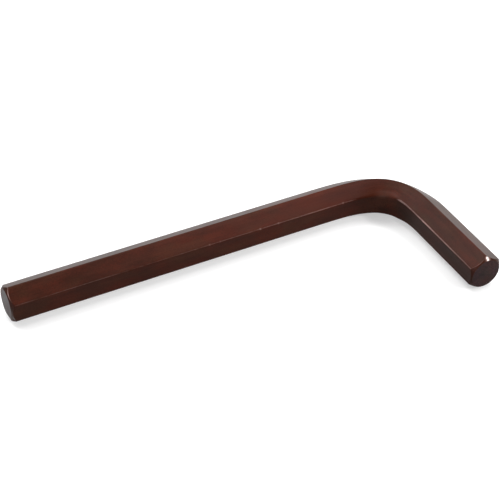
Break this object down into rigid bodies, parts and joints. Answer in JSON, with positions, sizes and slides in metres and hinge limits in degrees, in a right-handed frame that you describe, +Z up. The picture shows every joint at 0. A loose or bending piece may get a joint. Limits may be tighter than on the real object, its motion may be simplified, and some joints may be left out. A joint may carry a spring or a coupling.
{
  "type": "hex key",
  "caption": "L-shaped key bent from hexagonal steel bar, with chamfered ends and a dark brown finish, for turning hexagon-socket screws.",
  "frame": {"origin": "under the middle of the key's bounding box, on the surface that it lies on", "axes": "+X along the long arm from its end face towards the bend, +Y along the short arm from its end face towards the bend, +Z up, square to the plane of the bend"},
  "size_m": [0.1054, 0.0428, 0.0091],
  "materials": {
    "oxide_steel": "dark brown oxide finish on drawn steel bar, satin, with lighter worn edges"
  },
  "bodies": {
    "root": {"hex_key": "oxide_steel"}
  },
  "joints": []
}
